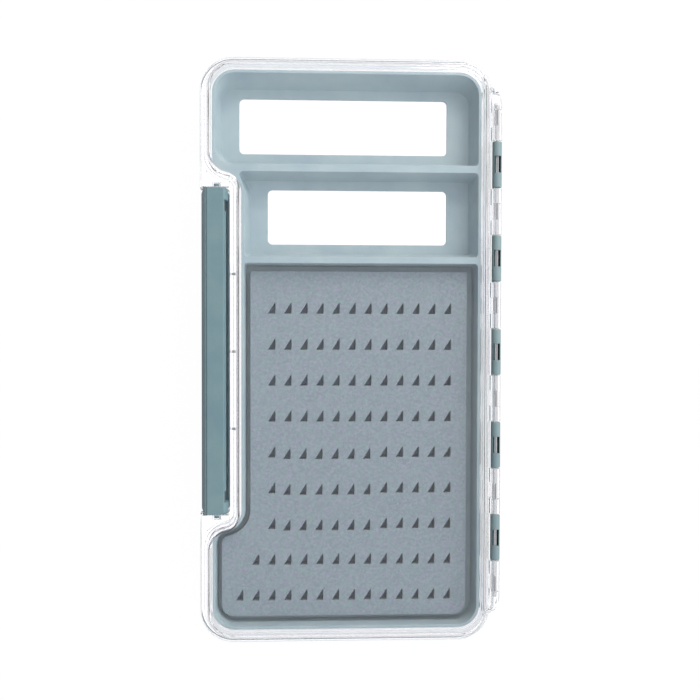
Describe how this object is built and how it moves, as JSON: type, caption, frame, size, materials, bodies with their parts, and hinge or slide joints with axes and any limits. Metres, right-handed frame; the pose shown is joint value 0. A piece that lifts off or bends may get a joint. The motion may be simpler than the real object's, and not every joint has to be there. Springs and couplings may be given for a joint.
{
  "type": "fly box",
  "caption": "Slim see-through fishing fly box with a grey insert, a slit mat, a long side latch bar and a linked double-pin hinge",
  "frame": {"origin": "middle of the base's underside, centred on the whole box", "axes": "+X from the latch side to the hinge side, +Y along the hinge, +Z from the base to the lid"},
  "size_m": [0.0971, 0.1872, 0.018],
  "materials": {
    "clear_case": "clear polished moulding",
    "grey_insert": "satin moulded blue-grey",
    "grey_fittings": "satin moulded dark blue-grey",
    "slit_mat": "matt, finely speckled",
    "seal_ring": "clear to milky, soft",
    "adhesive_sheet": "thin slate blue film",
    "hinge_wire": "drawn wire"
  },
  "bodies": {
    "base": {"base_shell": "clear_case", "tray_insert": "grey_insert", "mat_adhesive": "adhesive_sheet", "slit_mat": "slit_mat", "base_hinge_pin": "hinge_wire"},
    "hinge_clips": {"hinge_clip_1": "grey_fittings", "hinge_clip_2": "grey_fittings", "hinge_clip_3": "grey_fittings", "hinge_clip_4": "grey_fittings", "hinge_clip_5": "grey_fittings"},
    "lid": {"lid_shell": "clear_case", "lid_gasket": "seal_ring", "lid_hinge_pin": "hinge_wire"},
    "latch": {"latch": "grey_fittings"}
  },
  "joints": [
    {"name": "link_hinge", "type": "hinge", "parent": "base", "child": "hinge_clips", "pos_m": [0.04708, 0, 0.0085], "axis": [0, 1, 0], "range_deg": [0, 90]},
    {"name": "lid_hinge", "type": "hinge", "parent": "hinge_clips", "child": "lid", "pos_m": [0.04708, 0, 0.0135], "axis": [0, 1, 0], "range_deg": [0, 90]},
    {"name": "latch_hinge", "type": "hinge", "parent": "lid", "child": "latch", "pos_m": [-0.04288, 0, 0.0146], "axis": [0, 1, 0], "range_deg": [0, 100]}
  ]
}
